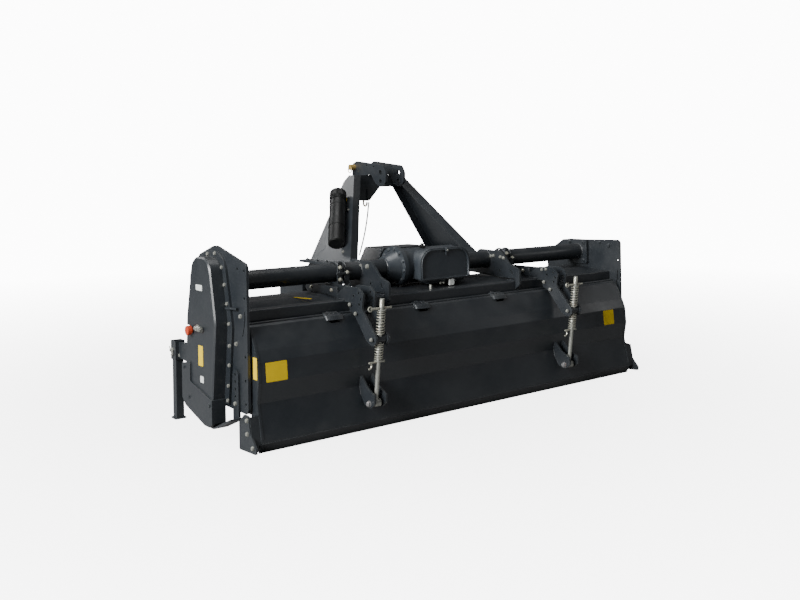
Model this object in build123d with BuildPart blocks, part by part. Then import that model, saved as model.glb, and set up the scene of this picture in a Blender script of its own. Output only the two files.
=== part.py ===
from build123d import *
import os
from math import atan2, cos, degrees, hypot, sin, tan

os.makedirs("parts", exist_ok=True)

# A heavy rotary tiller for a tractor's three-point hitch, parked on its stands and on the lower
# edge of its tailboard. +X is the machine's right, +Y is forward, +Z is up. The origin is the
# middle of the lower link axis. Outlines are drawn from the side, from behind or from above, and
# a side view is (forward, up) from the datum that its plane is given.

# ---- Driving dimensions, in millimetres ----

# Hitch, category 3
link_spread = 965.0          # between the middles of the lower link points
link_pin_d = 37.0            # bore for the lower link pin
link_forward = 520.0         # lower link axis ahead of the main tube
link_drop = 169.0            # and below it
mast_height = 685.0          # top link axis above the lower link axis
top_link_forward = 548.0     # top link axis ahead of the main tube
top_pin_d = 32.0

# Frame
work_width = 2350.0          # between the inner faces of the side plates
plate_t = 12.0
tube_d = 88.9
tube_wall = 8.0
tube_gap = 45.55             # from the hood's crest up to the main tube
end_flange_t = 20.0
fit_gap = 0.3                # between pieces that are slipped over one another
bore_gap = 0.05              # between a pin or journal and its bore
moving_gap = 10.0            # between the tailboard and the side plates
bolt_hole_r = 6.5            # for M12

# Rotor
rotor_height = 300.0         # rotor's axis above the ground, right under the main tube
tip_radius = 246.0
tip_gap = 29.0               # between the tines' tips and the hood
rotor_tube_d = 108.0
disc_radius = 125.0
disc_t = 10.0
disc_count = 10
disc_turn = 17.0             # degrees from one disc to the next
tines_per_disc = 6
tine_t = 8.0
tine_width = 62.0
tine_reach = 92.0            # how far a tine's foot runs sideways
tine_bend = 28.0
journal_d = 80.0

# Hood and its rear beam
sheet_t = 5.0
beam_depth = 60.0
beam_tall = 63.0
beam_wall = 5.0
beam_rear = -228.0           # rear face, from the main tube's axis
beam_drop = 12.0             # beam's top below the hood's crest

# Gearbox
box_left = -190.0
box_right = 165.0
box_r = 92.0
hub_length = 85.0
hub_r = 56.0
flange_r = 105.0
flange_t = 24.0
cover_half = 162.0
cover_rear = -160.0
cover_t = 20.0
cover_lip = 14.0
nose_front = 170.0
nose_r = 70.0
pto_d = 34.9                 # splined end, 1 3/8 inch
pto_journal_d = 40.0

# Side drive
case_depth = 71.0
rim_t = 12.0
guard_t = 6.0
plug_at = (80.0, -207.0)

# Headstock
leg_t = 8.0
leg_flange = 50.0
leg_foot_x = 425.0           # middle of the machine to the leg's web, at its foot
leg_head_x = 164.0           # the same at its head
head_drop = 45.0             # legs' heads below the top link axis
shelf_rise = 18.0            # bracket's shelf above the main tube's axis
shelf_t = 12.0
cheek_t = 12.0
cheek_half = 58.0            # middle of a lower link point to each cheek's middle
link_eye_r = 46.0
cross_t = 12.0
link_plate_t = 14.0
link_plate_x = 60.0

# Tailboard
hinge_drop = 54.0            # hinge below the beam's top
hinge_back = -247.0
hinge_pin_d = 14.0
knuckle_d = 24.0
knuckle_length = 26.0
knuckle_gap = 3.0
lug_t = 12.0
shield_t = 8.0

# Spring rods and their arms
rod_x = 620.0                # middle of the machine to each spring rod
rod_d = 20.0
rod_length = 466.0
spring_d = 40.0
spring_wire = 4.5
eye_back = -410.0
eye_drop = 382.0             # rod's eye below the hinge
eye_r = 18.0
eye_width = 34.0
eye_pin_d = 16.0
eye_play = 1.6               # the eye's hole round its pin
ear_t = 10.0
ear_x = 30.0                 # rod's middle to each ear's middle
trunnion_back = -446.0
trunnion_drop = 151.0        # rods' pivots below the beam's top
trunnion_d = 32.0
block_length = 50.0
pivot_pin_d = 20.0
pin_proud = 8.0              # how far pins and spacers stand out of the arms
arm_gap = 2.0
arm_plate = 10.0
low_seat = 194.0             # springs' seats, along the rod from its eye
high_seat = 415.0
seat_r = 20.0
seat_t = 4.0
seat_gap = 0.4
spring_gap = 1.0

# Stands and skids
stand_size = 40.0
stand_wall = 4.0
stand_gap = 0.75
stand_forward = 400.0
stand_out = 5.0              # stands' middle outside the side plates
sleeve_wall = 5.0
foot_size = 56.0
foot_t = 6.0
sole_t = 8.0
sole_width = 60.0
skid_arm_t = 10.0

# ---- Places worked out from them ----

half_width = work_width / 2
plate_out = half_width + plate_t
hood_crest = rotor_height + tip_radius + tip_gap + sheet_t
tube_height = hood_crest + tube_gap + tube_d / 2
rotor_drop = tube_height - rotor_height
beam_top = hood_crest - beam_drop
hinge_height = beam_top - hinge_drop
link_height = tube_height - link_drop
top_link_height = link_height + mast_height
leg_foot_height = tube_height + shelf_rise + shelf_t
leg_head_height = top_link_height - head_drop
eye_height = hinge_height - eye_drop
trunnion_height = beam_top - trunnion_drop
tube_y = -link_forward
ground_z = -link_height


def side_plane(x, height=0.0):
    """Sketch plane seen from the right: across is forward of the tube, up is from a height."""
    return Plane(origin=(x, tube_y, ground_z + height), x_dir=(0, 1, 0), z_dir=(1, 0, 0))


def rear_plane(forward, height=0.0):
    """Sketch plane seen from behind: across is X, up is from a height."""
    return Plane(origin=(0, tube_y + forward, ground_z + height), x_dir=(1, 0, 0), z_dir=(0, -1, 0))


def level_plane(height):
    """Sketch plane seen from above: across is X, up is forward of the tube."""
    return Plane(origin=(0, tube_y, ground_z + height))


def outline(corners):
    """A closed outline with a rounded corner at each (across, up, radius)."""
    with BuildSketch(mode=Mode.PRIVATE) as shape:
        with BuildLine():
            points = [(across, up) for across, up, radius in corners]
            FilletPolyline(*points, radius=[radius for across, up, radius in corners], close=True)
        make_face()
    return shape.sketch


def bent_sheet(points, radius, thickness):
    """The section of a sheet folded along a row of points."""
    with BuildSketch(mode=Mode.PRIVATE) as section:
        with BuildLine():
            FilletPolyline(*points, radius=radius)
            offset(amount=thickness, side=Side.LEFT)
        make_face()
    return section.sketch


def save(piece, name):
    piece.label = name
    export_step(piece, f"parts/{name}.step")


SIDES = (("left", -1), ("right", 1))

# ---- Side plates, from the main tube's axis ----

#                    forward, up, corner radius
left_plate_corners = [
    (-305, -518, 25), (-305, 100, 28), (-12, 169, 110), (150, 120, 60),
    (258, 20, 40), (258, -370, 40), (150, -518, 40),
]
right_plate_corners = [
    (-305, -518, 25), (-305, 78, 22), (125, 65, 30), (215, 10, 40),
    (258, -70, 40), (258, -370, 40), (150, -518, 40),
]
rear_holes = [(-285, -41), (-285, -283), (-285, -381), (-285, -478)]
left_top_holes = [(-224, 78), (-285, 74)]
plate_slot = ThreePointArc((-286, -98), (-281, -152), (-264, -198), mode=Mode.PRIVATE)
plate_slot_width = 7.0

for (side, sign), corners, holes in zip(
        SIDES, (left_plate_corners, right_plate_corners), (left_top_holes + rear_holes, rear_holes)):
    with BuildPart() as side_plate:
        with BuildSketch(side_plane(sign * (half_width + plate_t / 2), tube_height)):
            add(outline(corners))
            with Locations((0, -rotor_drop)):
                Circle(journal_d / 2 + bore_gap, mode=Mode.SUBTRACT)
            with Locations(holes):
                Circle(bolt_hole_r, mode=Mode.SUBTRACT)
            SlotArc(plate_slot, plate_slot_width, mode=Mode.SUBTRACT)
        extrude(amount=plate_t / 2, both=True)
    save(side_plate.part, f"side_plate_{side}")

# ---- Main tube ----

hub_left = box_left - hub_length


def tube_between(start, end):
    """A length of the main tube between two places across the machine."""
    with BuildPart(mode=Mode.PRIVATE) as length:
        with BuildSketch(side_plane(start, tube_height)):
            Circle(tube_d / 2)
            Circle(tube_d / 2 - tube_wall, mode=Mode.SUBTRACT)
        extrude(amount=end - start)
    return length.part


save(tube_between(-half_width, hub_left), "main_tube_left")
save(tube_between(box_right, half_width - end_flange_t), "main_tube_right")

with BuildPart() as tube_end_flange:
    with BuildSketch(side_plane(half_width - end_flange_t, tube_height)):
        RectangleRounded(150, 142, 12)
    extrude(amount=end_flange_t)
save(tube_end_flange.part, "tube_end_flange")

# ---- Hood and rear beam, from the hood's crest ----

hood_line = [
    (285, -260), (280, -180), (235, -68), (110, 0), (-60, 0), (beam_rear + beam_depth, -15),
]
hood_slot = (box_right - box_left + 70, 134)     # room round the gearbox

with BuildPart() as hood_sheet:
    with BuildSketch(side_plane(-half_width, hood_crest)):
        add(bent_sheet(hood_line, 20, sheet_t))
    extrude(amount=work_width)
    with BuildSketch(level_plane(beam_top)):
        with Locations(((box_left + box_right) / 2, 0)):
            Rectangle(*hood_slot)
    extrude(amount=4 * beam_drop, mode=Mode.SUBTRACT)
save(hood_sheet.part, "hood_sheet")

hinge_lugs = [-750, -250, 250, 750]

with BuildPart() as hood_rear_beam:
    with BuildSketch(side_plane(-half_width, beam_top - beam_tall / 2)):
        with Locations((beam_rear + beam_depth / 2, 0)):
            RectangleRounded(beam_depth, beam_tall, 8)
            Rectangle(beam_depth - 2 * beam_wall, beam_tall - 2 * beam_wall, mode=Mode.SUBTRACT)
    extrude(amount=work_width)
    for x in hinge_lugs:
        with BuildSketch(side_plane(x - lug_t / 2, hinge_height)):
            with Locations((hinge_back, 0)):
                Circle(knuckle_d / 2)
            with Locations(((hinge_back + beam_rear) / 2, 0)):
                Rectangle(beam_rear - hinge_back, knuckle_d)
            with Locations((hinge_back, 0)):
                Circle(hinge_pin_d / 2 + bore_gap, mode=Mode.SUBTRACT)
        extrude(amount=lug_t)
save(hood_rear_beam.part, "hood_rear_beam")

# ---- Gearbox, from the main tube's axis ----

with BuildPart() as gearbox_side_flange:
    with BuildSketch(level_plane(tube_height)):
        with BuildLine():
            Polyline(
                (hub_left, 0), (hub_left, hub_r), (box_left - flange_t, 84),
                (box_left - flange_t, flange_r), (box_left, flange_r), (box_left, 0), close=True)
        make_face()
    revolve(axis=Axis((0, tube_y, ground_z + tube_height), (1, 0, 0)))
save(gearbox_side_flange.part, "gearbox_side_flange")

cover_corners = [
    (-cover_half, -64, 14), (-cover_half, 94, 78), (cover_half, 94, 70), (cover_half, -64, 14),
]
housing_corners = [(across * 0.95, up, radius) for across, up, radius in cover_corners]
housing_length = 150.0

with BuildPart() as gearbox_housing:
    with BuildSketch(side_plane(box_left, tube_height)):
        Circle(box_r)
    extrude(amount=box_right - box_left)
    with BuildSketch(rear_plane(cover_rear + cover_t, tube_height)):
        add(outline(housing_corners))
    extrude(amount=-housing_length, taper=5)
    with BuildSketch(rear_plane(nose_front, tube_height)):
        Circle(nose_r)
    extrude(amount=nose_front)
    with BuildSketch(rear_plane(nose_front, tube_height)):
        Circle(pto_journal_d / 2 + bore_gap)
    extrude(amount=40, mode=Mode.SUBTRACT)
save(gearbox_housing.part, "gearbox_housing")

with BuildPart() as gearbox_rear_cover:
    with BuildSketch(rear_plane(cover_rear + cover_t, tube_height)):
        add(outline(cover_corners))
    extrude(amount=cover_t)
    with BuildSketch(rear_plane(cover_rear, tube_height)):
        add(outline(cover_corners))
        offset(amount=-cover_lip)
    extrude(amount=-6, mode=Mode.SUBTRACT)
save(gearbox_rear_cover.part, "gearbox_rear_cover")

with BuildPart() as pto_input_shaft:
    with BuildSketch(rear_plane(nose_front - 38, tube_height)):
        Circle(pto_journal_d / 2)
    extrude(amount=-50)
    with BuildSketch(rear_plane(nose_front + 12, tube_height)):
        Circle(pto_d / 2)
        with PolarLocations(pto_d / 2, 6):
            Rectangle(4.5, 8.7, mode=Mode.SUBTRACT)
    extrude(amount=-90)
save(pto_input_shaft.part, "pto_input_shaft")

pto_guard_depth = 165.0
pto_guard_arch = [(195, 2, 12), (150, 83, 14)]
pto_guard_foot = -85.0


def guard_outline(shrink, foot):
    """The guard's arch, drawn in by shrink, with its feet at a height."""
    right = [(across - shrink, up - shrink / 2, radius - shrink) for across, up, radius in pto_guard_arch]
    right = [(pto_guard_arch[0][0] - shrink, foot, 0)] + right
    left = [(-across, up, radius) for across, up, radius in reversed(right)]
    return outline(right + left)


with BuildPart() as pto_guard:
    with BuildSketch(rear_plane(nose_front, tube_height)):
        add(guard_outline(0, pto_guard_foot))
    extrude(amount=-pto_guard_depth)
    with BuildSketch(rear_plane(nose_front + sheet_t, tube_height)):
        add(guard_outline(sheet_t, pto_guard_foot - 20))
    extrude(amount=-pto_guard_depth, mode=Mode.SUBTRACT)
    with BuildSketch(rear_plane(nose_front, tube_height)):
        Circle(26)
    extrude(amount=-pto_guard_depth, mode=Mode.SUBTRACT)
save(pto_guard.part, "pto_guard")

# ---- Side drive, from the main tube's axis ----

case_corners = [
    (-112, -490, 8), (157, -427, 30), (138, -150, 90), (75, 119, 74), (-95, 119, 80), (-152, -150, 90),
]
rim_corners = [
    (-148, -505, 10), (185, -425, 30), (178, -150, 120), (105, 142, 105), (-118, 142, 110), (-192, -170, 120),
]
plug_recess = (70.0, 36.0, 8.0)

with BuildPart() as drive_case:
    with BuildSketch(side_plane(-plate_out, tube_height)):
        add(outline(rim_corners))
    extrude(amount=-rim_t)
    with BuildSketch(side_plane(-plate_out - rim_t, tube_height)):
        add(outline(case_corners))
    extrude(amount=rim_t - case_depth)
    chamfer(drive_case.faces().sort_by(Axis.X)[0].edges(), 6)
    with BuildSketch(side_plane(-plate_out - rim_t, tube_height)):
        with Locations((plug_at[0] + 60, plug_at[1])):
            RectangleRounded(*plug_recess)
    extrude(amount=rim_t - case_depth, mode=Mode.SUBTRACT)
save(drive_case.part, "drive_case")

with BuildPart() as drive_case_plug:
    with BuildSketch(side_plane(-plate_out - case_depth, tube_height)):
        with Locations(plug_at):
            Circle(12)
    extrude(amount=-8)
    with BuildSketch(side_plane(-plate_out - case_depth - 8, tube_height)):
        with Locations(plug_at):
            RegularPolygon(21, 12)
    extrude(amount=-18)
save(drive_case_plug.part, "drive_case_plug")

#   The guard, from the rotor's axis: outside, and inside with its top left open
guard_corners = [
    (-122, -212, 6), (-122, -111, 2), (97, -63, 0), (94, 22, 8), (184, 5, 10), (184, -150, 18),
    (150, -178, 30), (-46, -229, 60), (-96, -229, 14),
]
guard_hollow = [
    (-116, -209, 3), (-116, 30, 0), (178, 30, 0), (178, -147, 12), (148, -172, 24), (-46, -223, 54),
    (-94, -223, 8),
]
guard_start = plate_out + rim_t + fit_gap
guard_room = case_depth - rim_t

with BuildPart() as drive_case_guard:
    with BuildSketch(side_plane(-guard_start, rotor_height)):
        add(outline(guard_corners))
    extrude(amount=-guard_room - guard_t)
    with BuildSketch(side_plane(-guard_start, rotor_height)):
        add(outline(guard_hollow))
    extrude(amount=-guard_room, mode=Mode.SUBTRACT)
save(drive_case_guard.part, "drive_case_guard")

with BuildPart() as rotor_bearing_right:
    with BuildSketch(side_plane(plate_out, rotor_height)):
        Circle(95)
    extrude(amount=14)
    with BuildSketch(side_plane(plate_out, rotor_height)):
        Circle(66)
    extrude(amount=48)
save(rotor_bearing_right.part, "rotor_bearing_right")

# ---- Rotor: flanges on a tube, each with six L-shaped tines, left and right in turn ----

end_disc_x = half_width - 45 - tine_reach
tine_foot = tip_radius - 6
tine_root = 68.0

with BuildPart() as tine:
    with BuildSketch(Plane.XZ):
        with BuildLine():
            Polyline(
                (0, tine_root), (0, tine_foot - tine_bend),
                (tine_bend * 0.3, tine_foot - tine_bend * 0.3), (tine_bend, tine_foot),
                (tine_reach, tine_foot))
            offset(amount=tine_t, side=Side.RIGHT, kind=Kind.INTERSECTION)
        make_face()
    extrude(amount=tine_width / 2, both=True)

with BuildPart() as tined_disc:
    with BuildSketch(Plane.YZ.offset(-disc_t / 2)):
        Circle(disc_radius)
    extrude(amount=disc_t)
    for number in range(tines_per_disc):
        blade = tine.part if number % 2 else mirror(tine.part, about=Plane.YZ)
        face = disc_t / 2 if number % 2 else -disc_t / 2
        add(Rot(360 / tines_per_disc * number, 0, 0) * Pos(face, 0, 0) * blade)

disc_pitch = 2 * end_disc_x / (disc_count - 1)

with BuildPart() as rotor:
    with BuildSketch(Plane.YZ.offset(-end_disc_x - 60)):
        Circle(rotor_tube_d / 2)
    extrude(amount=2 * end_disc_x + 120)
    with BuildSketch(Plane.YZ.offset(-plate_out + 1)):
        Circle(journal_d / 2)
    extrude(amount=2 * plate_out - 2)
    add([Pos(disc * disc_pitch - end_disc_x, 0, 0) * Rot(disc_turn * disc, 0, 0) * tined_disc.part
         for disc in range(disc_count)])
save(Pos(0, tube_y, ground_z + rotor_height) * rotor.part, "rotor")

# ---- Headstock ----

leg_rise = leg_head_height - leg_foot_height
leg_lean = atan2(leg_foot_x - leg_head_x, leg_rise)
leg_length = leg_rise / cos(leg_lean)
leg_plane = Plane(
    origin=(-leg_foot_x, tube_y, ground_z + leg_foot_height),
    x_dir=(0, 1, 0), z_dir=(cos(leg_lean), 0, -sin(leg_lean)))
foot_rear, foot_front = 69.0, link_forward - 75
head_rear, head_front = link_forward - 93, link_forward - 37
leg_over = 25.0              # what is cut off level at the head

with BuildPart() as headstock_legs:
    with BuildSketch(leg_plane):
        with BuildLine():
            Polyline(
                (foot_rear, 0), (foot_front, 0), (head_front - 6, leg_length - 100),
                (head_front, leg_length - 42), (head_rear + 20, leg_length + leg_over),
                (head_rear, leg_length + leg_over), close=True)
        make_face()
    extrude(amount=leg_flange)
    with BuildSketch(leg_plane.offset(leg_t)):
        with BuildLine():
            Polyline(
                (foot_rear + leg_t + 3, -20), (foot_front - leg_t, -20),
                (head_front - 6 - leg_t, leg_length - 100), (head_front - leg_t, leg_length + 40),
                (head_rear + leg_t + 3, leg_length + 40), close=True)
        make_face()
    extrude(amount=leg_flange, mode=Mode.SUBTRACT)
    for height, cut in ((leg_foot_height, -leg_flange), (leg_head_height, leg_flange)):
        with BuildSketch(level_plane(height)):
            Rectangle(2 * leg_foot_x + 20, 2 * link_forward)
        extrude(amount=cut, mode=Mode.SUBTRACT)
    mirror(about=Plane.YZ)
save(headstock_legs.part, "headstock_legs")

cross_front = head_rear + 25
cross_low = leg_head_height - 67
web_reach = leg_t / cos(leg_lean) + fit_gap


def between_webs(height):
    """Half the room between the two legs' webs at a height."""
    return leg_head_x + (leg_head_height - height) * tan(leg_lean) - web_reach


with BuildPart() as headstock_crosshead:
    with BuildSketch(rear_plane(cross_front)):
        with BuildLine():
            high, low = between_webs(leg_head_height), between_webs(cross_low)
            Polyline((-high, leg_head_height), (high, leg_head_height), (low, cross_low), (-low, cross_low),
                     close=True)
        make_face()
    extrude(amount=cross_t)
    with BuildSketch(level_plane(leg_head_height - cross_t)):
        with Locations((0, cross_front + 11)):
            Rectangle(2 * high, 22)
    extrude(amount=cross_t)
    with BuildSketch(rear_plane(cross_front - cross_t, leg_head_height)):
        with BuildLine():
            Polyline((-150, -51), (40, -51), (-45, -141), (-150, -141), close=True)
        make_face()
    extrude(amount=leg_t)
save(headstock_crosshead.part, "headstock_crosshead")

#   From the top link axis
link_plate_corners = [
    (24, -head_drop, 6), (24, 18, 18), (-20, 34, 20), (-273, 4, 26), (-298, -36, 30),
    (-294, -94, 28), (-248, -112, 26), (-203, -94, 20), (-163, -head_drop, 14),
]
rear_mast_holes = [(-249, -34), (-249, -82)]
clip_holes = [(-120, 8), (-188, 0)]

with BuildPart() as top_link_plates:
    for sign in (-1, 1):
        with BuildSketch(side_plane(sign * link_plate_x, top_link_height)):
            with Locations((top_link_forward, 0)):
                add(outline(link_plate_corners))
                Circle(top_pin_d / 2 + fit_gap, mode=Mode.SUBTRACT)
            with Locations([(top_link_forward + across, up) for across, up in rear_mast_holes]):
                Circle(13, mode=Mode.SUBTRACT)
            with Locations([(top_link_forward + across, up) for across, up in clip_holes]):
                Circle(5, mode=Mode.SUBTRACT)
        extrude(amount=link_plate_t / 2, both=True)
save(top_link_plates.part, "top_link_plates")

with BuildPart() as top_link_pin:
    with BuildSketch(side_plane(0, top_link_height)):
        with Locations((top_link_forward, 0)):
            Circle(top_pin_d / 2)
    extrude(amount=link_plate_x + 40, both=True)
save(top_link_pin.part, "top_link_pin")

# ---- Brackets on the main tube, with the lower link points, from the tube's axis ----

ahead, behind = link_forward + link_eye_r, link_forward - link_eye_r
eye_low = -link_drop - link_eye_r
over_beam = beam_top - tube_height + 13
cheek_corners = [
    (beam_rear - fit_gap, -143, 0), (-258, -122, 10), (-258, -40, 22), (-190, -20, 18), (-118, 48, 16),
    (52, 54, 10), (62, shelf_rise, 4), (foot_front, shelf_rise, 20), (ahead, -110, 40),
    (ahead, eye_low, link_eye_r - 1), (behind, eye_low, link_eye_r - 1), (link_forward - 95, -110, 60),
    (120, over_beam + 11, 20), (-60, over_beam, 0), (beam_rear - fit_gap, over_beam, 0),
]
outer_cheek_corners = [
    (330, -200, 10), (330, -50, 30), (470, -50, 40), (ahead, -110, 40),
    (ahead, eye_low, link_eye_r - 1), (behind, eye_low, link_eye_r - 1),
]
shelf_rear = 62.0
shelf_width = 130.0
web_at = (340.0, -115.0)
cheek_inner_x = link_spread / 2 - cheek_half
cheek_outer_x = link_spread / 2 + cheek_half

with BuildPart() as tube_brackets:
    for side, sign in SIDES:
        with BuildSketch(side_plane(sign * cheek_inner_x, tube_height)):
            add(outline(cheek_corners))
            Circle(tube_d / 2 + fit_gap, mode=Mode.SUBTRACT)
            with Locations((link_forward, -link_drop)):
                Circle(link_pin_d / 2, mode=Mode.SUBTRACT)
            with Locations((-111, -56)):
                Circle(bolt_hole_r, mode=Mode.SUBTRACT)
            with Locations(Location((-202, -58), 60)):
                SlotOverall(28, 11, mode=Mode.SUBTRACT)
        extrude(amount=cheek_t / 2, both=True)
        with BuildSketch(level_plane(tube_height + shelf_rise)):
            with Locations((sign * (leg_foot_x + 5), (shelf_rear + foot_front) / 2)):
                Rectangle(shelf_width, foot_front - shelf_rear)
        extrude(amount=shelf_t)
save(tube_brackets.part, "tube_brackets")

with BuildPart() as link_cheeks:
    for side, sign in SIDES:
        with BuildSketch(side_plane(sign * cheek_outer_x, tube_height)):
            add(outline(outer_cheek_corners))
            with Locations((link_forward, -link_drop)):
                Circle(link_pin_d / 2, mode=Mode.SUBTRACT)
        extrude(amount=cheek_t / 2, both=True)
        with BuildSketch(side_plane(sign * (cheek_inner_x + cheek_t / 2), tube_height)):
            with Locations(web_at):
                Rectangle(12, 120)
        extrude(amount=sign * (2 * cheek_half - cheek_t))
save(link_cheeks.part, "link_cheeks")

# ---- Document tube, beside the left leg's web ----

tube_low = leg_plane.offset(-48).from_local_coords((190, 75, 0))
tube_high = leg_plane.offset(-48).from_local_coords((400, 375, 0))

with BuildPart() as document_tube:
    with BuildSketch(Plane(origin=tube_low, z_dir=tube_high - tube_low)):
        Circle(42)
    extrude(amount=(tube_high - tube_low).length)
    chamfer(document_tube.edges().filter_by(GeomType.CIRCLE), 5)
    with BuildSketch(leg_plane):
        with Locations((253, 165), (337, 285)):
            Rectangle(36, 24)
    extrude(amount=-12)
save(document_tube.part, "document_tube")

# ---- Tailboard, from its hinge ----

#   The sheet's outside, from the hinge down: back of the tube, below the hinge
board_line = [
    (hinge_back - 18, 0), (-278, -6), (-326, -100), (-345, -146), (-352, -230),
    (-336, -315), (-372, -466), (-350, 1 - hinge_height),
]
hinge_slot = (56.0, 14.0, -24.0)                 # under each hinge: length, width, up
board_half = half_width - moving_gap
end_plate_corners = [(across + 2, up, 0) for across, up in board_line[1:-1]] + [
    (-347, -508, 0), (-300, -502, 10), (-284, -314, 40), (-262, -44, 10)]
knuckle_shift = lug_t / 2 + knuckle_gap + knuckle_length / 2

with BuildPart() as tailboard_sheet:
    with BuildSketch(side_plane(-board_half, hinge_height)):
        add(bent_sheet(board_line, 10, sheet_t))
    extrude(amount=2 * board_half)
    for x in (-board_half, board_half - sheet_t):
        with BuildSketch(side_plane(x, hinge_height)):
            add(outline(end_plate_corners))
        extrude(amount=sheet_t)
    for x in hinge_lugs:
        for middle in (x - knuckle_shift, x + knuckle_shift):
            with BuildSketch(side_plane(middle, hinge_height)):
                with Locations((hinge_back, 0)):
                    Circle(knuckle_d / 2)
                with Locations((hinge_back - 14, -3)):
                    Rectangle(18, 9)
            extrude(amount=knuckle_length / 2, both=True)
    with BuildSketch(side_plane(0, hinge_height)):
        with Locations((hinge_back, 0)):
            Circle(hinge_pin_d / 2)
    extrude(amount=board_half, both=True)
    with BuildSketch(rear_plane(hinge_back - knuckle_d, hinge_height)):
        with Locations([(x, hinge_slot[2]) for x in hinge_lugs]):
            SlotOverall(*hinge_slot[:2])
    extrude(amount=knuckle_d, mode=Mode.SUBTRACT)
save(tailboard_sheet.part, "tailboard_sheet")

shield_spacer = plate_t + 2 * moving_gap
shield_corners = [
    (-254, -508, 8), (-254, -394, 10), (-300, -356, 14), (-338, -358, 10), (-352, -424, 20),
    (-402, -480, 8), (-400, -500, 8),
]

with BuildPart() as tailboard_shields:
    for side, sign in SIDES:
        with BuildSketch(side_plane(sign * (board_half + shield_spacer), hinge_height)):
            add(outline(shield_corners))
        extrude(amount=sign * shield_t)
        with BuildSketch(side_plane(sign * board_half, hinge_height)):
            with Locations((-336, -444)):
                Rectangle(40, 90)
        extrude(amount=sign * shield_spacer)
save(tailboard_shields.part, "tailboard_shields")

ear_corners = [
    (-342.5, -268, 0), (-392, -316, 30), (-446, -342, 14), (-448, -378, 12), (-418, -402, 16),
    (-372, -392, 16), (-342.5, -352, 0), (-333.5, -315, 0),
]

with BuildPart() as rod_brackets:
    for side, sign in SIDES:
        for shift in (-ear_x, ear_x):
            with BuildSketch(side_plane(sign * rod_x + shift, hinge_height)):
                add(outline(ear_corners))
            extrude(amount=ear_t / 2, both=True)
        with BuildSketch(side_plane(sign * rod_x, eye_height)):
            with Locations((eye_back, 0)):
                Circle(eye_pin_d / 2)
        extrude(amount=ear_x + 14, both=True)
    add(tailboard_sheet.part, mode=Mode.SUBTRACT)
save(rod_brackets.part, "rod_brackets")

# ---- Spring arms: two bent plates round each rod, standing on the rear beam, from its top ----

arm_corners = [
    (-165, fit_gap, 0), (-165, 24, 12), (-236, 64, 24), (-334, 66, 20), (-377, 36, 22), (-363, -29, 30),
    (-480, -152, 23.5), (-446, -184, 23.5), (-398, -164, 30), (-340, -96, 60), (-300, -52, 30),
    (-268, -42, 6), (-268, -6, 0), (beam_rear - fit_gap, -6, 0), (beam_rear - fit_gap, fit_gap, 0),
]
spacers = [(-327, -50), (-282, -14)]
holes_middle = (-327.0, 15.0)
holes_r = 29.5
holes_angles = (20, 120, 180, 235)
arm_in = block_length / 2 + arm_gap
arm_out = arm_in + arm_plate

with BuildPart() as spring_arms:
    for side, sign in SIDES:
        for shift in (-1, 1):
            with BuildSketch(side_plane(sign * rod_x + shift * (arm_in + arm_plate / 2), beam_top)):
                add(outline(arm_corners))
                with Locations((trunnion_back, -trunnion_drop)):
                    Circle(pivot_pin_d / 2 + bore_gap, mode=Mode.SUBTRACT)
                with Locations(holes_middle):
                    for angle in holes_angles:
                        with PolarLocations(holes_r, 1, angle):
                            Circle(bolt_hole_r, mode=Mode.SUBTRACT)
            extrude(amount=arm_plate / 2, both=True)
        with BuildSketch(side_plane(sign * rod_x, beam_top)):
            with Locations(spacers):
                Circle(9)
        extrude(amount=arm_out + pin_proud, both=True)
save(spring_arms.part, "spring_arms")

# ---- Pivots, rods and springs ----

rod_reach = hypot(trunnion_back - eye_back, trunnion_height - eye_height)


def rod_plane(x, along):
    """Sketch plane across a spring rod, some way up it from its eye."""
    back = eye_back + along / rod_reach * (trunnion_back - eye_back)
    height = eye_height + along / rod_reach * (trunnion_height - eye_height)
    return Plane(
        origin=(x, tube_y + back, ground_z + height), x_dir=(1, 0, 0),
        z_dir=(0, trunnion_back - eye_back, trunnion_height - eye_height))


low_spring = rod_reach - trunnion_d / 2 - spring_gap - low_seat
high_start = rod_reach + trunnion_d / 2 + seat_gap
high_spring = high_seat - high_start - seat_gap

for side, sign in SIDES:
    middle = sign * rod_x
    with BuildPart() as rod_pivot:
        with BuildSketch(side_plane(middle, trunnion_height)):
            with Locations((trunnion_back, 0)):
                Circle(trunnion_d / 2)
        extrude(amount=block_length / 2, both=True)
        with BuildSketch(side_plane(middle, trunnion_height)):
            with Locations((trunnion_back, 0)):
                Circle(pivot_pin_d / 2)
        extrude(amount=arm_out + pin_proud, both=True)
        with BuildSketch(rod_plane(middle, rod_reach - trunnion_d)):
            Circle(rod_d / 2 + bore_gap)
        extrude(amount=2 * trunnion_d, mode=Mode.SUBTRACT)
    save(rod_pivot.part, f"rod_pivot_{side}")

    with BuildPart() as tail_rod:
        with BuildSketch(side_plane(middle, eye_height)):
            with Locations((eye_back, 0)):
                Circle(eye_r)
        extrude(amount=eye_width / 2, both=True)
        with BuildSketch(rod_plane(middle, 0)):
            Circle(rod_d / 2)
        extrude(amount=rod_length)
        for start in (low_seat - seat_t, high_seat):
            with BuildSketch(rod_plane(middle, start)):
                Circle(seat_r)
            extrude(amount=seat_t)
        with BuildSketch(side_plane(middle, eye_height)):
            with Locations((eye_back, 0)):
                Circle(eye_pin_d / 2 + eye_play)
        extrude(amount=eye_width / 2, both=True, mode=Mode.SUBTRACT)
    save(tail_rod.part, f"tail_rod_{side}")

    for name, start, length in (
            ("spring_low", low_seat, low_spring),
            ("spring_high", high_start, high_spring)):
        with BuildPart() as spring:
            with BuildSketch(rod_plane(middle, start)):
                Circle(spring_d / 2)
                Circle(spring_d / 2 - spring_wire, mode=Mode.SUBTRACT)
            extrude(amount=length)
        save(spring.part, f"{name}_{side}")

# ---- Skids, from the rotor's axis, and stands, from the main tube's ----

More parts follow.
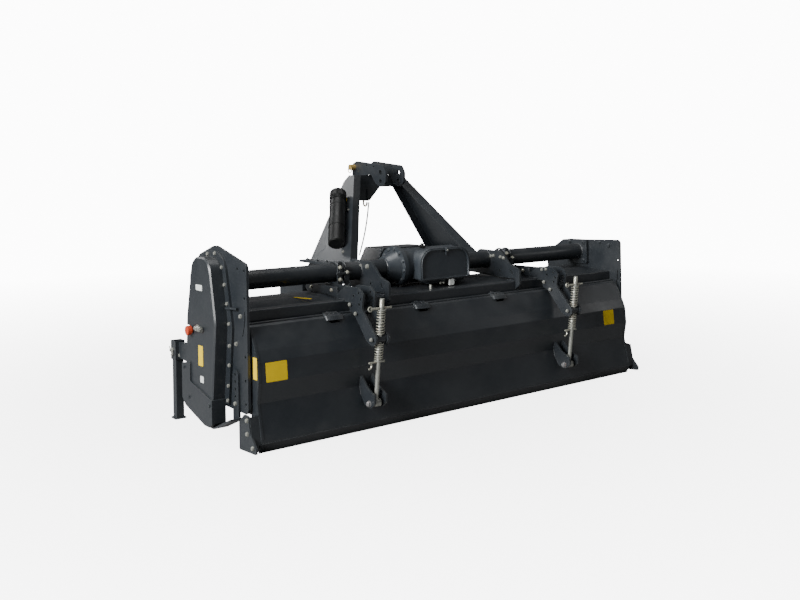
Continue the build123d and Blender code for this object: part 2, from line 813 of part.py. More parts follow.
#   The sole's underside, from its rear end
sole_line = [(-262, -172), (-104, -238), (-45, -238), (160, -186), (212, -140)]
skid_arm_corners = [(-237, -180, 0), (-235, 25, 24), (-185, 25, 24), (-185, -202, 0)]
skid_lug_corners = [(120, -191, 0), (150, -110, 16), (228, -110, 16), (210, -138, 0), (160, -180, 0)]
skid_holes = [(-210, 6 - 30.5 * step) for step in range(5)]

with BuildPart() as skids:
    for side, sign in SIDES:
        start = side_plane(sign * (plate_out + fit_gap), rotor_height)
        with BuildSketch(start):
            add(bent_sheet(sole_line, 60, sole_t))
        extrude(amount=sign * sole_width)
        with BuildSketch(start):
            add(outline(skid_arm_corners))
            add(outline(skid_lug_corners))
            with Locations(skid_holes):
                Circle(bolt_hole_r, mode=Mode.SUBTRACT)
        extrude(amount=sign * skid_arm_t)
save(skids.part, "skids")

sleeve_size = stand_size + 2 * (stand_gap + sleeve_wall)
sleeve_low, sleeve_high = tube_height - 390, tube_height - 302
leg_top = tube_height - 320
sleeve_back = stand_forward - sleeve_size / 2
bracket_corners = [(sleeve_back, -380, 0), (sleeve_back, -308, 0), (196, -290, 12), (196, -394, 12)]

with BuildPart() as stand_sleeves:
    for side, sign in SIDES:
        with BuildSketch(level_plane(sleeve_low)):
            with Locations((sign * (plate_out + stand_out), stand_forward)):
                RectangleRounded(sleeve_size, sleeve_size, 5)
                Rectangle(stand_size + 2 * stand_gap, stand_size + 2 * stand_gap, mode=Mode.SUBTRACT)
        extrude(amount=sleeve_high - sleeve_low)
        with BuildSketch(side_plane(sign * plate_out, tube_height)):
            add(outline(bracket_corners))
        extrude(amount=sign * 10)
save(stand_sleeves.part, "stand_sleeves")

for side, sign in SIDES:
    with BuildPart() as stand_leg:
        with BuildSketch(level_plane(foot_t)):
            with Locations((sign * (plate_out + stand_out), stand_forward)):
                RectangleRounded(stand_size, stand_size, 3)
                Rectangle(stand_size - 2 * stand_wall, stand_size - 2 * stand_wall, mode=Mode.SUBTRACT)
        extrude(amount=leg_top - foot_t)
        with BuildSketch(level_plane(0)):
            with Locations((sign * (plate_out + stand_out), stand_forward)):
                RectangleRounded(foot_size, foot_size, 8)
        extrude(amount=foot_t)
    save(stand_leg.part, f"stand_leg_{side}")
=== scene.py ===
"""Looks for the rotary tiller: finishes, fasteners, springs, welds, blank plates, floor, light, camera."""

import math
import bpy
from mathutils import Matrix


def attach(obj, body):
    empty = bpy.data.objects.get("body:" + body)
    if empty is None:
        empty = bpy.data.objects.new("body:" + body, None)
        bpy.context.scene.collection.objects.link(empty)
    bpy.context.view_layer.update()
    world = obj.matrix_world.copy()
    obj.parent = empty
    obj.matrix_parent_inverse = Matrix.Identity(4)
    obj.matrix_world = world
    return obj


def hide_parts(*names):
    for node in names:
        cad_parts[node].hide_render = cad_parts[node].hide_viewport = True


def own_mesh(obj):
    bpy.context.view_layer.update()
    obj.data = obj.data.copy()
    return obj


bl_info = {
    "name": "Rotary tiller looks",
    "version": (1, 0, 0),
    "blender": (4, 5, 0),
    "location": "3D View > Sidebar > Tiller",
    "description": "Adds the finishes, fasteners, springs, welds and studio of a mounted rotary tiller",
    "category": "Object",
}

import bmesh
import bpy
from mathutils import Matrix, Vector

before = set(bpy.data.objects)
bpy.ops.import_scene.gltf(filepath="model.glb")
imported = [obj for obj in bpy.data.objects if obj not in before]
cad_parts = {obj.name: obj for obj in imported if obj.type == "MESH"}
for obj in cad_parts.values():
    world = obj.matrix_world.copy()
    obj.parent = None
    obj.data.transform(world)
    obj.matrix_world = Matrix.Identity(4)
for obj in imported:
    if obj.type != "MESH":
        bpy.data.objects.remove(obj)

# Sizes are in millimetres and places are (x, forward of the main tube, height above the ground).
MM = 0.001
TUBE_Y = -520.0             # main tube's axis in the row frame
GROUND_Z = -501.0           # ground in the row frame
TUBE_HEIGHT = 670.0
ROTOR_HEIGHT = 300.0
PLATE_OUT = 1187.0          # side plates' outer faces
SKID_FACE = PLATE_OUT + 10.3
CASE_FACE = -1258.0         # drive case's outer face
GUARD_FACE = -1264.3        # outer face of its wear guard
COVER_BACK = -160.0         # rear face of the gearbox's cover
FLANGE_FACE = -214.0        # outer face of the gearbox's side flange
FLANGE_BOLT = 52.5          # tube's axis to its square flange's bolts, each way
BEAD_STEP = 0.55            # spacing of a weld's ripples, and their depth, as shares of its radius
BEAD_RIPPLE = 0.16
SIDES = (("left", -1), ("right", 1))
RIGHT, LEFT = Vector((1, 0, 0)), Vector((-1, 0, 0))
FORWARD, BACK = Vector((0, 1, 0)), Vector((0, -1, 0))
UP, DOWN = Vector((0, 0, 1)), Vector((0, 0, -1))


# ---- Small helpers ----

def place(x, forward, height):
    """A point in the row frame, in metres."""
    return Vector((x * MM, (TUBE_Y + forward) * MM, (GROUND_Z + height) * MM))


def linear(code):
    """An sRGB hex code as a linear colour."""
    parts = [int(code[i:i + 2], 16) / 255 for i in (1, 3, 5)]
    return [p / 12.92 if p <= 0.04045 else ((p + 0.055) / 1.055) ** 2.4 for p in parts] + [1.0]


def add_node(tree, kind, settings=(), inputs=(), links=()):
    """Adds one shader node: settings are its properties, inputs its values, links its sources."""
    made = tree.nodes.new(kind)
    for key, value in dict(settings).items():
        setattr(made, key, value)
    for key, value in dict(inputs).items():
        made.inputs[key].default_value = value
    for key, source in dict(links).items():
        tree.links.new(source, made.inputs[key])
    return made


def turn_to(axis):
    """The rotation that takes +Z to axis, keeping one flat of a hexagon level."""
    return Vector(axis).normalized().to_track_quat("Z", "Y").to_matrix().to_4x4()


def finish_piece(name, bm, finish, body, smooth=35.0, bevel=0.0, replaces=()):
    """Turns a bmesh into an object of the machine that rides on a body, with the finish as its material."""
    bmesh.ops.remove_doubles(bm, verts=bm.verts, dist=1e-6)
    bmesh.ops.recalc_face_normals(bm, faces=bm.faces)
    mesh = bpy.data.meshes.new(name)
    bm.to_mesh(mesh)
    bm.free()
    for face in mesh.polygons:
        face.use_smooth = True
    mesh.set_sharp_from_angle(angle=math.radians(smooth))
    piece = bpy.data.objects.new(name, mesh)
    bpy.context.scene.collection.objects.link(piece)
    mesh.materials.append(FINISHES[finish])
    if bevel:
        made = piece.modifiers.new("edges", "BEVEL")
        made.width = bevel * MM
        made.segments = 2
        made.limit_method = "ANGLE"
        made.angle_limit = math.radians(smooth)
    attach(piece, body)
    if replaces:
        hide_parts(*replaces)
    return piece


def add_disc(bm, centre, axis, radius, height, segments=24, chamfer=0.0):
    """A washer, cap or pin standing on centre along axis."""
    spot = Matrix.Translation(centre) @ turn_to(axis) @ Matrix.Translation((0, 0, height * MM / 2))
    made = bmesh.ops.create_cone(
        bm, cap_ends=True, segments=segments, radius1=radius * MM,
        radius2=(radius - chamfer) * MM, depth=height * MM, matrix=spot)
    return made["verts"]


def add_bolt(bm, centre, axis, size, washer=True, stub=0.0):
    """A hexagon head or nut on its washer. size is the thread's diameter."""
    axis = Vector(axis).normalized()
    # shares of the thread: washer's height, head's height up to its chamfer, and chamfer
    sheet, body, chamfer = size * 0.18, size * 0.46, size * 0.12
    head = centre.copy()
    if washer:
        add_disc(bm, centre, axis, size, sheet)
        head += axis * sheet * MM
    add_disc(bm, head, axis, size * 0.88, body, segments=6)
    add_disc(bm, head + axis * body * MM, axis, size * 0.86, chamfer, segments=6, chamfer=chamfer)
    if stub:
        add_disc(bm, head + axis * (body + chamfer) * MM, axis, size * 0.5, stub, 16, size * 0.08)


def add_slab(bm, corners, way):
    """A face through corners, made solid along way."""
    face = bm.faces.new([bm.verts.new(corner) for corner in corners])
    made = bmesh.ops.extrude_face_region(bm, geom=[face])
    top = [part for part in made["geom"] if isinstance(part, bmesh.types.BMVert)]
    bmesh.ops.translate(bm, verts=top, vec=way)


def add_plate(bm, corners, across, up, out, origin, thickness):
    """A flat plate: corners as (across, up) in millimetres on a plane through origin."""
    add_slab(bm, [origin + (across * a + up * b) * MM for a, b in corners], out * thickness * MM)


def rounded(width, height, radius, steps=4):
    """Corners of a rectangle about its middle, with rounded corners."""
    points = []
    for number, (sx, sy) in enumerate(((1, 1), (-1, 1), (-1, -1), (1, -1))):
        for step in range(steps + 1):
            angle = math.radians(90 * number + 90 * step / steps)
            points.append((
                sx * (width / 2 - radius) + radius * math.cos(angle),
                sy * (height / 2 - radius) + radius * math.sin(angle)))
    return points


def add_tube(bm, path, radius, segments=10, ripple=0.0):
    """A round bar along a row of points. Every other ring is thinner by the share ripple."""
    rings = []
    side = None
    for number, point in enumerate(path):
        before = path[max(number - 1, 0)]
        after = path[min(number + 1, len(path) - 1)]
        along = (after - before).normalized()
        side = along.orthogonal() if side is None else side - along * side.dot(along)
        side.normalize()
        other = along.cross(side)
        size = radius * (1 - ripple * (number % 2)) * MM
        ring = []
        for step in range(segments):
            angle = 2 * math.pi * step / segments
            ring.append(bm.verts.new(point + (side * math.cos(angle) + other * math.sin(angle)) * size))
        rings.append(ring)
    for low, high in zip(rings, rings[1:]):
        for step in range(segments):
            after = (step + 1) % segments
            bm.faces.new((low[step], low[after], high[after], high[step]))
    bm.faces.new(rings[0][::-1])
    bm.faces.new(rings[-1])


def add_bead(bm, start, end, size):
    """A weld's bead of that radius along a straight seam."""
    steps = max(2, int((end - start).length / (size * BEAD_STEP * MM)))
    add_tube(bm, [start.lerp(end, step / steps) for step in range(steps + 1)], size, 6, BEAD_RIPPLE)


def arc_path(centre, across, up, radius, start, end, steps):
    """Points of an arc about centre, between two angles in degrees."""
    angles = [math.radians(start + (end - start) * step / steps) for step in range(steps + 1)]
    return [centre + (across * math.cos(angle) + up * math.sin(angle)) * radius * MM for angle in angles]


def add_ring_bead(bm, x, forward, height, radius, size):
    """A weld's bead all the way round a tube that lies across the machine."""
    steps = int(2 * math.pi * radius / (size * BEAD_STEP))
    path = arc_path(place(x, forward, height), FORWARD, UP, radius, 0, 360, steps)
    add_tube(bm, path, size, 6, BEAD_RIPPLE)


def add_block(bm, centre, size):
    """A block by its middle and its size in millimetres."""
    shape = Matrix.Diagonal((*[side * MM for side in size], 1.0))
    bmesh.ops.create_cube(bm, size=1.0, matrix=Matrix.Translation(centre) @ shape)


def board_place(x, height, lift=0.0):
    """A point on the tailboard's outside at a height, lifted off it, and the way the board faces."""
    for (back_high, high), (back_low, low) in zip(BOARD_LINE, BOARD_LINE[1:]):
        if high >= height >= low:
            break
    share = (high - height) / (high - low)
    down = Vector((0, back_low - back_high, low - high)).normalized()
    out = down.cross(RIGHT)
    out = out if out.y < 0 else -out
    return place(x, back_high + (back_low - back_high) * share, height) + out * lift * MM, out, down


# ---- Finishes ----

def start_material(name):
    """A new material with its node tree, its shader, and the object's own coordinates as a link."""
    material = bpy.data.materials.new(name)
    material.use_nodes = True
    tree = material.node_tree
    where = add_node(tree, "ShaderNodeTexCoord")
    return material, tree, tree.nodes["Principled BSDF"], {"Vector": where.outputs["Object"]}


def add_noise(tree, spot, size, detail=2.0, roughness=0.5):
    """Noise with features about size millimetres across."""
    return add_node(tree, "ShaderNodeTexNoise", inputs={
        "Scale": 1.0 / (size * MM), "Detail": detail, "Roughness": roughness}, links=spot).outputs["Fac"]


def add_range(tree, value, low, high, to_low, to_high):
    """Turns the range from low to high of a value into the range from to_low to to_high."""
    return add_node(tree, "ShaderNodeMapRange", inputs={
        "From Min": low, "From Max": high, "To Min": to_low, "To Max": to_high},
        links={"Value": value}).outputs["Result"]


def add_times(tree, first, second, clamp=False):
    """The product of two sockets."""
    return add_node(tree, "ShaderNodeMath", {"operation": "MULTIPLY", "use_clamp": clamp},
                    links={0: first, 1: second}).outputs["Value"]


def add_mix(tree, share, first, second):
    """Mixes two colours by the socket share. Each colour is a list or a socket."""
    made = add_node(tree, "ShaderNodeMix", {"data_type": "RGBA"}, links={0: share})
    for key, colour in ((6, first), (7, second)):
        if isinstance(colour, list):
            made.inputs[key].default_value = colour
        else:
            tree.links.new(colour, made.inputs[key])
    return made.outputs[2]


def set_surface(tree, shader, colour, roughness, height, strength, depth):
    """Ties colour, roughness and a bump of that depth in millimetres to the shader."""
    bump = add_node(tree, "ShaderNodeBump", inputs={"Strength": strength, "Distance": depth * MM},
                    links={"Height": height})
    tree.links.new(colour, shader.inputs["Base Color"])
    tree.links.new(roughness, shader.inputs["Roughness"])
    tree.links.new(bump.outputs["Normal"], shader.inputs["Normal"])


def powder_coat(name, colour, roughness=0.4, dust=0.3, peel_size=1.6, peel_depth=0.4):
    """Powder-coated steel: a faint orange peel, a film of dust in patches, and paler rubbed edges.

    peel_size and peel_depth are in millimetres, and dust is how thick the film lies in its patches.
    """
    material, tree, shader, spot = start_material(name)
    peel = add_noise(tree, spot, peel_size)
    patches = add_noise(tree, spot, 154.0, detail=6.0, roughness=0.6)
    specks = add_noise(tree, spot, 3.85, detail=3.0)
    film = add_range(tree, patches, 0.4, 0.7, 0.0, dust)
    # dust lies on what faces up
    facing = add_node(tree, "ShaderNodeNewGeometry").outputs["Normal"]
    parts = add_node(tree, "ShaderNodeSeparateXYZ", links={"Vector": facing})
    upward = add_range(tree, parts.outputs["Z"], 0.2, 1.0, 0.35, 1.6)
    settled = add_times(tree, add_times(tree, film, upward), specks, clamp=True)
    dusty = add_mix(tree, settled, linear(colour), linear("#4a4a47"))
    # an edge is rubbed where its normal, rounded over 2 mm, leaves the face's own
    edge = add_node(tree, "ShaderNodeBevel", {"samples": 4}, {"Radius": 2.0 * MM})
    differ = add_node(tree, "ShaderNodeVectorMath", {"operation": "DOT_PRODUCT"},
                      links={0: edge.outputs["Normal"], 1: facing})
    worn = add_range(tree, differ.outputs["Value"], 0.985, 0.8, 0.0, 0.35)
    rubbed = add_mix(tree, worn, dusty, linear("#5c6265"))
    rough = add_range(tree, patches, 0.3, 0.7, roughness - 0.07, roughness + 0.14)
    set_surface(tree, shader, rubbed, rough, peel, 0.25, peel_depth)
    shader.inputs["Coat Weight"].default_value = 0.2
    shader.inputs["Coat Roughness"].default_value = 0.25
    return material


def plated(name, colour, tint, roughness=0.38, rust=0.0):
    """Plated steel: mottled between colour and tint, fine grains, and rust in spots where there is any."""
    material, tree, shader, spot = start_material(name)
    blotch = add_noise(tree, spot, 15.4, detail=4.0)
    grain = add_noise(tree, spot, 2.0)
    mottled = add_mix(tree, blotch, linear(colour), linear(tint))
    spots = add_range(tree, blotch, 0.58, 0.68, 0.0, rust)
    rusty = add_mix(tree, spots, mottled, linear("#8a4a22"))
    rough = add_range(tree, blotch, 0.3, 0.7, roughness - 0.1, roughness + 0.14)
    set_surface(tree, shader, rusty, rough, grain, 0.2, 0.3)
    shader.inputs["Metallic"].default_value = 0.75
    return material


def moulded(name, colour, roughness=0.5, gloss=0.0, shine=0.5):
    """Moulded plastic or vinyl: a fine texture, slight clouds of soiling and soft highlights.

    gloss is the clear coat's weight, and shine the strength of the surface's own reflection.
    """
    material, tree, shader, spot = start_material(name)
    grain = add_noise(tree, spot, 1.11)
    cloud = add_noise(tree, spot, 55.6, detail=3.0)
    soiled = [part * 0.72 + 0.004 for part in linear(colour)[:3]] + [1.0]
    clouded = add_mix(tree, cloud, linear(colour), soiled)
    rough = add_range(tree, cloud, 0.3, 0.7, roughness - 0.08, roughness + 0.08)
    set_surface(tree, shader, clouded, rough, grain, 0.2, 0.3)
    shader.inputs["Coat Weight"].default_value = gloss
    shader.inputs["Specular IOR Level"].default_value = shine
    return material


FINISHES = {}


def make_finishes(context):
    """Every finish of the machine, by a short name."""
    paint = context.scene.tiller.paint
    FINISHES.update({
        # dark grey satin powder coat over the welded frame, hood and tailboard
        "charcoal": powder_coat("powder_coated_steel", paint),
        # iron castings in a paler tone of the frame's paint, the paler tone being painted light for the lit
        # walls of the gearbox's housing, with the sand's coarser skin
        "casting": powder_coat("painted_iron_casting_lit_tone", "#23282d", roughness=0.42, peel_size=3.0,
                               peel_depth=1.2),
        # black paint on the hardened tines, dustier than the frame
        "tine": powder_coat("painted_tine_steel", "#17181a", roughness=0.5, dust=0.5),
        # the sheath of the hook's cord
        "dark": powder_coat("black_painted_steel", "#0e0f11", roughness=0.5),
        # zinc-plated fasteners and rods
        "zinc": plated("zinc_plated_steel", "#a9aaa2", "#7f807a"),
        # zinc-plated spring wire, with the first spots of rust
        "spring": plated("zinc_plated_spring_wire", "#bdbdb0", "#8f8f84", rust=0.35),
        # yellow-passivated zinc of the hitch's pin
        "gold": plated("yellow_passivated_steel", "#d2b36a", "#94804f"),
        # bare ground steel, rusting where it isn't greased
        "ground": plated("ground_steel", "#a9a9a9", "#8a8a8a", 0.3, rust=0.5),
        # blow-moulded document tube and caps
        "black": moulded("black_polyethylene", "#040505", 0.45, shine=0.2),
        # the oil filler's plug
        "orange": moulded("orange_polyamide", "#a8320a", 0.5),
        # blank label plates
        "yellow": moulded("yellow_vinyl", "#cdae00", 0.55, shine=0.2),
        "white": moulded("white_vinyl", "#cfd2cf", 0.35, gloss=0.2),
    })


NODE_FINISHES = (
    # words that start a node's name, finish
    ("rod_pivot", "charcoal"), ("tail_rod", "zinc"), ("top_link_pin", "gold"), ("document_tube", "black"),
    ("drive_case_plug", "orange"), ("rotor_bearing", "casting"), ("rotor", "tine"),
    ("pto_input", "ground"), ("gearbox", "casting"), ("", "charcoal"),
)


class TILLER_OT_finishes(bpy.types.Operator):
    """Gives every CAD node its finish"""
    bl_idname = "tiller.finishes"
    bl_label = "Finishes"

    def execute(self, context):
        make_finishes(context)
        for name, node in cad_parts.items():
            for start, finish in NODE_FINISHES:
                if name.startswith(start):
                    break
            node.data.materials.clear()
            node.data.materials.append(FINISHES[finish])
        return {"FINISHED"}


# ---- Drive case ----

CASE_BOLTS = (
    # forward, height
    (36, 797), (-37, 803), (-102, 746), (-128, 674), (-149, 595), (-165, 512), (-168, 420), (-163, 337),
    (-153, 249), (-145, 185), (95, 748), (124, 674), (145, 595), (158, 512), (166, 420), (168, 337),
    (168, 268),
)


class TILLER_OT_case_trim(bpy.types.Operator):
    """Bolts of the drive case, its guard and the right bearing, and the case's elbow fitting"""
    bl_idname = "tiller.case_trim"
    bl_label = "Drive case trim"

    def execute(self, context):
        size = context.scene.tiller.bolt_size
        bm = bmesh.new()
        for forward, height in CASE_BOLTS:
            add_bolt(bm, place(-PLATE_OUT - 12, forward, height), LEFT, size * 0.75)
        finish_piece("case_bolts", bm, "zinc", "frame")

        bm = bmesh.new()
        for forward, height in ((-100, 165), (160, 290), (110, 165)):
            add_bolt(bm, place(GUARD_FACE, forward, height), LEFT, 8)
        # eight bolts round the right bearing
        middle = place(PLATE_OUT + 14, 0, ROTOR_HEIGHT)
        for spot in arc_path(middle, FORWARD, UP, 80, 22.5, 337.5, 7):
            add_bolt(bm, spot, RIGHT, size)
        # the cover inside the bearing's mouth, and a stay from the case's rim along the side plate
        add_disc(bm, place(PLATE_OUT + 48, 0, ROTOR_HEIGHT), LEFT, 40, 1)
        add_tube(bm, [place(-PLATE_OUT - 18, -150, 577), place(-PLATE_OUT - 9, -233, 581)], 6)
        finish_piece("guard_bolts", bm, "charcoal", "frame")

        # the elbow: a hexagon foot, a bend to the rear, then a nut and a collar on it
        bm = bmesh.new()
        foot = place(CASE_FACE, 18, 480)
        add_disc(bm, foot, LEFT, 15, 7, segments=6)
        add_disc(bm, foot + LEFT * 7 * MM, LEFT, 10, 6)
        bend = foot + LEFT * 13 * MM
        add_tube(bm, [bend, bend + BACK * 46 * MM, bend + (BACK * 62 + DOWN * 4) * MM], 9, 16)
        for start, length, radius, sides in ((22, 14, 13, 6), (44, 12, 12, 24)):
            add_disc(bm, bend + BACK * start * MM, BACK, radius, length, segments=sides, chamfer=1)
        finish_piece("case_elbow", bm, "zinc", "frame")
        return {"FINISHED"}


# ---- Gearbox ----

# half of the cover's rim, (across, up) from the tube's height, from its top round to its bottom
COVER_RIM = [(0, 86)] + [
    (84 + 68 * math.sin(math.radians(turn)), 18 + 68 * math.cos(math.radians(turn)))
    for turn in range(0, 91, 10)
] + [(152, -48), (148, -55), (142, -58), (0, -58)]


class TILLER_OT_gearbox_trim(bpy.types.Operator):
    """The gearbox's flange bolts, its cover's rim and boss, its sump, screws, tag and breather"""
    bl_idname = "tiller.gearbox_trim"
    bl_label = "Gearbox trim"

    def execute(self, context):
        bm = bmesh.new()
        for spot in arc_path(place(FLANGE_FACE, 0, TUBE_HEIGHT), FORWARD, UP, 93, 8, 338, 11):
            add_bolt(bm, spot, LEFT, 10)
        # the cover's raised rim
        rim = [(-cross, up) for cross, up in reversed(COVER_RIM)] + list(COVER_RIM)
        add_tube(bm, [place(cross, COVER_BACK, TUBE_HEIGHT + up) for cross, up in rim + rim[:1]], 4, 8)
        # the boss at the top of the cover, with a rib under it
        add_disc(bm, place(8, COVER_BACK + 6, 752), BACK, 13, 12, chamfer=3)
        add_block(bm, place(8, COVER_BACK + 4, 736), (7, 6, 22))
        # the sump under the gearbox: a pan with sloping sides
        bmesh.ops.create_cone(
            bm, cap_ends=True, segments=4, radius1=150 * MM, radius2=205 * MM, depth=44 * MM,
            matrix=Matrix.Translation(place(20, -85, 607)) @ Matrix.Diagonal((1, 0.42, 1, 1))
            @ Matrix.Rotation(math.radians(45), 4, "Z"))
        finish_piece("gearbox_trim", bm, "casting", "frame", bevel=1.5)

        # the boss's screw, a post on the hood's beam, and two screws beside the tag
        bm = bmesh.new()
        add_bolt(bm, place(8, COVER_BACK - 6, 752), BACK, 6, washer=False)
        add_disc(bm, place(-112, -175, 566), UP, 8, 22, chamfer=1)
        for across in (-28, -8):
            add_bolt(bm, place(across, -148, 588), BACK, 7)
        finish_piece("gearbox_screws", bm, "zinc", "frame")

        bm = bmesh.new()
        add_block(bm, place(42, -152, 588), (32, 10, 32))
        finish_piece("gearbox_tag", bm, "white", "frame", bevel=1.5)

        # the breather: a hexagon with a cap on it
        bm = bmesh.new()
        add_disc(bm, place(-40, -20, 761), UP, 17, 10, segments=6)
        add_disc(bm, place(-40, -20, 771), UP, 11, 12, segments=20, chamfer=3)
        finish_piece("gearbox_breather", bm, "black", "frame")
        return {"FINISHED"}


# ---- Bolts of the frame ----

class TILLER_OT_frame_bolts(bpy.types.Operator):
    """Bolts and nuts of the tube's flange, brackets, arms, skids and side plates"""
    bl_idname = "tiller.frame_bolts"
    bl_label = "Frame bolts"

    def execute(self, context):
        size = context.scene.tiller.bolt_size
        bm = bmesh.new()
        # the nuts of the tube's square flange
        for forward in (-FLANGE_BOLT, FLANGE_BOLT):
            for up in (-FLANGE_BOLT, FLANGE_BOLT):
                add_bolt(bm, place(1155, forward, TUBE_HEIGHT + up), LEFT, 12, stub=6)
        for sign in (-1, 1):
            # the skid's front bolt, and two rows through the headstock's foot
            add_bolt(bm, place(sign * SKID_FACE, 188, 165), (sign, 0, 0), size)
            for forward in (120, 210, 300, 390):
                for x in (390, 478):
                    add_bolt(bm, place(sign * x, forward, LEG_FOOT[1]), UP, 10, stub=4)
        # inside the right side plate
        for forward, height in ((-225, 712), (-160, 728), (60, 722)):
            add_bolt(bm, place(1175, forward, height), LEFT, 12)
        finish_piece("frame_bolts", bm, "charcoal", "frame")

        bm = bmesh.new()
        for start, size, spots in (
                # face across the machine, thread, places on it: brackets, then arms
                (-430.5, 12, ((-30, 692), (-88, 695))),
                (418.5, 9, ((-44, 688), (-64, 692), (-118, 688), (-142, 684))),
                (-ROD_X - 45.0, 9, ((-327, 518), (-282, 554))),
                (ROD_X - 45.0, 9, ((-327, 518), (-282, 554)))):
            for forward, height in spots:
                add_bolt(bm, place(start, forward, height), LEFT, size)
        for sign in (-1, 1):
            for face, forward, height in (
                    (PLATE_OUT, -249, 552), (PLATE_OUT, -207, 432), (SKID_FACE, -210, 184)):
                add_bolt(bm, place(sign * face, forward, height), (sign, 0, 0), 10)
        # on the right sector plate, and at both ends of each rod's pivot
        for forward, height in ((-262, 618), (-292, 622)):
            add_bolt(bm, place(583, forward, height), LEFT, 8)
        for sign in (-1, 1):
            for way in (LEFT, RIGHT):
                add_bolt(bm, rod_place(sign, ROD_REACH) + way * 45 * MM, way, 9)
        finish_piece("arm_bolts", bm, "zinc", "frame")
        return {"FINISHED"}


# outline of an arm's front end: forward of the tube, height
ARM_TAIL = ((-166, 571), (-60, 582), (96, 582), (118, 600), (104, 621), (-166, 621))


class TILLER_OT_tube_clamps(bpy.types.Operator):
    """The clamps that hold the spring arms to the main tube, and the arms' front ends"""
    bl_idname = "tiller.tube_clamps"
    bl_label = "Tube clamps"

    def execute(self, context):
        steel = bmesh.new()
        nuts = bmesh.new()
        for sign in (-1, 1):
            # two straps round the tube, each drawn to an ear behind it by nuts
            middle = sign * 546.0
            for ear, up in ((-20, 12), (20, -14)):
                add_block(steel, place(middle + ear, -49, 655 + up), (26, 9, 112))
            for strap in (-22, 22):
                path = arc_path(place(middle + strap, 0, TUBE_HEIGHT), FORWARD, UP, 50.5, -70, 196, 28)
                add_tube(steel, path, 5.5, 10)
            add_block(steel, place(middle, -56, 668), (84, 8, 10))
            add_block(steel, place(middle + 30, -48, 600), (12, 30, 34))
            for ear, height in ((-20, 698), (20, 672), (-20, 640)):
                add_bolt(nuts, place(middle + ear, -53.5, height), BACK, 10, stub=7)
            add_bolt(nuts, place(middle + 24, -63, 600), BACK, 8)
            # the arms' front ends run on under the tube along the hood
            for shift in (-32, 32):
                add_plate(steel, ARM_TAIL, FORWARD, UP, LEFT, place(sign * ROD_X + shift + 5, 0, 0), 10)
            for forward in (-120, 60):
                add_bolt(nuts, place(sign * ROD_X - 37, forward, 604), LEFT, 9)
        finish_piece("tube_clamps", steel, "charcoal", "frame", bevel=1.0)
        finish_piece("tube_clamp_nuts", nuts, "spring", "frame")
        return {"FINISHED"}


# ---- Springs and their rods ----

# the rod's eye and pivot: forward of the tube, height
EYE = Vector((0, -410, 132)) * MM
PIVOT = Vector((0, -446, 417)) * MM
ROD_X = 620.0               # middle of the machine to each rod
COIL_OUT = 20.0             # a spring's outer radius
ROD_WAY = (PIVOT - EYE).normalized()
ROD_REACH = (PIVOT - EYE).length / MM
COILS = (
    # name, body, start and end along the rod from its eye, turns
    ("low", "tail_rod", 194.2, ROD_REACH - 17.0, 7),
    ("high", "rod_pivot", ROD_REACH + 16.6, 414.6, 9),
)


def rod_place(sign, along):
    """A point on a spring rod's axis."""
    return place(sign * ROD_X, 0, 0) + EYE + ROD_WAY * along * MM


class TILLER_OT_springs(bpy.types.Operator):
    """The coil springs on the tailboard's two rods"""
    bl_idname = "tiller.springs"
    bl_label = "Springs"

    def execute(self, context):
        wire = context.scene.tiller.spring_wire
        other = ROD_WAY.cross(RIGHT)
        for side, sign in SIDES:
            for name, body, start, end, turns in COILS:
                steps = turns * 20
                path = []
                for step in range(steps + 1):
                    share = step / steps
                    # the end coils lie closer
                    eased = share - 0.03 * math.sin(2 * math.pi * share)
                    angle = 2 * math.pi * turns * share
                    rise = start + wire / 2 + (end - start - wire) * eased
                    arm = RIGHT * math.cos(angle) + other * math.sin(angle)
                    path.append(rod_place(sign, rise) + arm * (COIL_OUT - wire / 2) * MM)
                bm = bmesh.new()
                add_tube(bm, path, wire / 2, 8)
                piece = finish_piece(f"{name}_coil_{side}", bm, "spring", f"{body}_{side}",
                                     replaces=(f"spring_{name}_{side}",))
                if name == "low":
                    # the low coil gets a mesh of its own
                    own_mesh(piece)
        return {"FINISHED"}


class TILLER_OT_rod_pins(bpy.types.Operator):
    """The cross pins through the spring rods, with their hooks, and the pins' clips at the eyes"""
    bl_idname = "tiller.rod_pins"
    bl_label = "Rod pins"

    def execute(self, context):
        for side, sign in SIDES:
            bm = bmesh.new()
            # the upper pin ends in a ring, and the lower one in a hook and two split ends
            upper, lower = rod_place(sign, 424), rod_place(sign, 184)
            add_tube(bm, [upper + LEFT * 58 * MM, upper + RIGHT * 52 * MM], 5, 12)
            add_tube(bm, arc_path(upper + LEFT * 60 * MM, LEFT, UP, 10, -150, 150, 18), 3, 8)
            add_tube(bm, [lower + LEFT * 50 * MM, lower + RIGHT * 26 * MM], 4.5, 12)
            add_tube(bm, arc_path(lower + (LEFT * 50 + DOWN * 13) * MM, LEFT, UP, 13, 90, 280, 18), 4, 8)
            for up in (-1, 1):
                add_tube(bm, [lower + RIGHT * 24 * MM, lower + (RIGHT * 34 + UP * 4 * up) * MM], 2.4, 6)
            # the rod's threaded top
            for turn in range(9):
                add_disc(bm, rod_place(sign, 432 + 3.5 * turn), ROD_WAY, 11, 2.4, chamfer=1)
            finish_piece(f"rod_pins_{side}", bm, "spring", f"tail_rod_{side}")

        bm = bmesh.new()
        for sign in (-1, 1):
            eye = rod_place(sign, 0)
            for way in (LEFT, RIGHT):
                end = eye + way * 35 * MM
                add_disc(bm, end, way, 14, 3)
                clip = end + way * 6 * MM
                add_tube(bm, [clip + UP * 13 * MM, clip + DOWN * 13 * MM], 2, 8)
            add_disc(bm, eye + LEFT * 44 * MM, LEFT, 11, 4, chamfer=2)
        finish_piece("eye_clips", bm, "ground", "tailboard")
        return {"FINISHED"}


# ---- Tailboard ----

